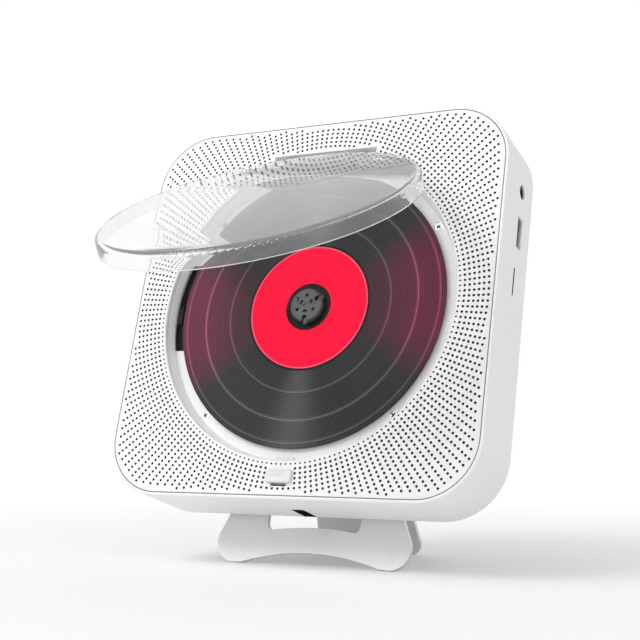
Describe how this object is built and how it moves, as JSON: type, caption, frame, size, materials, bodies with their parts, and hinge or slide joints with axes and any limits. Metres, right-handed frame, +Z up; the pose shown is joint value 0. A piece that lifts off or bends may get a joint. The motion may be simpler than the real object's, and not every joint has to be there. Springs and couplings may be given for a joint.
{
  "type": "wall mounted cd player",
  "caption": "Flat square disc player with a perforated front, open disc well, hinged clear lid, top keys and a bent sheet-metal stand; also hangs on a wall by keyholes.",
  "frame": {"origin": "on the surface the stand's feet rest on, under the middle of the whole object with its lid open as in the picture", "axes": "+X to the viewer's right along the face's width, +Y from the face towards the rear leg, +Z up; the face leans back from vertical"},
  "size_m": [0.165, 0.1612, 0.1866],
  "materials": {
    "panel_white": "fine matt white moulding",
    "housing_white": "satin white moulding",
    "well_grey": "matt light grey moulding",
    "lid_clear": "clear polished plastic",
    "steel": "bright zinc plated",
    "motor_steel": "drawn can",
    "dark_rubber": "soft black",
    "black_plastic": "fine matt black",
    "gear_plastic": "natural low-friction plastic",
    "disc_black": "printed disc with fine rings",
    "label_red": "printed red",
    "lens_glass": "coated lens",
    "paper_cone": "pressed paper",
    "board_green": "solder mask",
    "cell_foil": "foil pouch",
    "brass": "turned",
    "stand_silver": "fine bead-blasted, silver grey"
  },
  "bodies": {
    "player": {"front_panel": "panel_white", "rear_housing": "housing_white", "disc_well": "well_grey", "hinge_pins": "steel", "hinge_washers": "dark_rubber", "latch_springs": "steel", "spindle_motor": "motor_steel", "mechanism_deck": "black_plastic", "deck_grommets": "dark_rubber", "deck_screws": "steel", "guide_rod_main": "steel", "guide_rod_side": "steel", "gear_stud": "steel", "sled_motor": "motor_steel", "speaker_left": "motor_steel", "speaker_right": "motor_steel", "speaker_cone_left": "paper_cone", "speaker_cone_right": "paper_cone", "main_board": "board_green", "board_components": "black_plastic", "headphone_jack": "black_plastic", "usb_port": "motor_steel", "card_slot": "black_plastic", "power_socket": "black_plastic", "power_board": "board_green", "battery_cell": "cell_foil", "key_board": "board_green", "key_switches": "black_plastic", "housing_screws": "steel", "well_screws": "steel", "stand_inserts": "brass", "stand_screws": "steel", "stand_bracket": "stand_silver"},
    "lid": {"lid": "lid_clear"},
    "spindle": {"spindle_shaft": "steel", "turntable_hub": "black_plastic", "turntable_pad": "dark_rubber", "disc": "disc_black", "disc_label": "label_red"},
    "latch": {"latch_button": "housing_white"},
    "sled": {"pickup_sled": "black_plastic", "pickup_lens": "lens_glass", "sled_rack": "gear_plastic"},
    "drive_gear": {"drive_gear": "gear_plastic"},
    "pinion": {"motor_pinion": "gear_plastic"},
    "claw_1": {"disc_claw_1": "black_plastic"},
    "claw_2": {"disc_claw_2": "black_plastic"},
    "claw_3": {"disc_claw_3": "black_plastic"},
    "power_key": {"key_power": "housing_white"},
    "source_key": {"key_source": "housing_white"},
    "volume_key": {"key_volume": "housing_white"},
    "previous_key": {"key_previous": "housing_white"},
    "play_key": {"key_play": "housing_white"},
    "next_key": {"key_next": "housing_white"}
  },
  "joints": [
    {"name": "lid_hinge", "type": "hinge", "parent": "player", "child": "lid", "pos_m": [0, 0.03619, 0.16742], "axis": [-1, 0, 0], "range_deg": [-47.6, 12.4]},
    {"name": "spindle_spin", "type": "hinge", "parent": "player", "child": "spindle", "pos_m": [0, 0.01454, 0.10667], "axis": [0, -0.9588, 0.284], "continuous": true},
    {"name": "latch_slide", "type": "slide", "parent": "player", "child": "latch", "axis": [0, -0.284, -0.9588], "range_m": [0, 0.0025], "stiffness_N_per_m": 400, "springref_m": -0.002, "deforming": ["latch_springs"]},
    {"name": "sled_slide", "type": "slide", "parent": "player", "child": "sled", "axis": [-1, 0, 0], "range_m": [0, 0.033]},
    {"name": "gear_spin", "type": "hinge", "parent": "player", "child": "drive_gear", "pos_m": [-0.038, 0.03572, 0.12501], "axis": [0, 0.9588, -0.284], "range_deg": [0, 542]},
    {"name": "pinion_spin", "type": "hinge", "parent": "player", "child": "pinion", "pos_m": [-0.03054, 0.03875, 0.13522], "axis": [0, -0.9588, 0.284], "range_deg": [0, 1803]},
    {"name": "claw_1_slide", "type": "slide", "parent": "spindle", "child": "claw_1", "axis": [-0.866, -0.142, -0.4794], "range_m": [0, 0.0008], "stiffness_N_per_m": 500, "springref_m": -0.0008},
    {"name": "claw_2_slide", "type": "slide", "parent": "spindle", "child": "claw_2", "axis": [0.866, -0.142, -0.4794], "range_m": [0, 0.0008], "stiffness_N_per_m": 500, "springref_m": -0.0008},
    {"name": "claw_3_slide", "type": "slide", "parent": "spindle", "child": "claw_3", "axis": [0, 0.284, 0.9588], "range_m": [0, 0.0008], "stiffness_N_per_m": 500, "springref_m": -0.0008},
    {"name": "key_power_press", "type": "slide", "parent": "player", "child": "power_key", "axis": [0, -0.284, -0.9588], "range_m": [0, 0.0006], "stiffness_N_per_m": 600, "springref_m": -0.0008},
    {"name": "key_source_press", "type": "slide", "parent": "player", "child": "source_key", "axis": [0, -0.284, -0.9588], "range_m": [0, 0.0006], "stiffness_N_per_m": 600, "springref_m": -0.0008},
    {"name": "key_volume_press", "type": "slide", "parent": "player", "child": "volume_key", "axis": [0, -0.284, -0.9588], "range_m": [0, 0.0006], "stiffness_N_per_m": 600, "springref_m": -0.0008},
    {"name": "key_previous_press", "type": "slide", "parent": "player", "child": "previous_key", "axis": [0, -0.284, -0.9588], "range_m": [0, 0.0006], "stiffness_N_per_m": 600, "springref_m": -0.0008},
    {"name": "key_play_press", "type": "slide", "parent": "player", "child": "play_key", "axis": [0, -0.284, -0.9588], "range_m": [0, 0.0006], "stiffness_N_per_m": 600, "springref_m": -0.0008},
    {"name": "key_next_press", "type": "slide", "parent": "player", "child": "next_key", "axis": [0, -0.284, -0.9588], "range_m": [0, 0.0006], "stiffness_N_per_m": 600, "springref_m": -0.0008}
  ],
  "couplings": [
    {"joint": "gear_spin", "follows": "sled_slide", "rad_per_m": 285.71},
    {"joint": "pinion_spin", "follows": "sled_slide", "rad_per_m": 952.38}
  ]
}
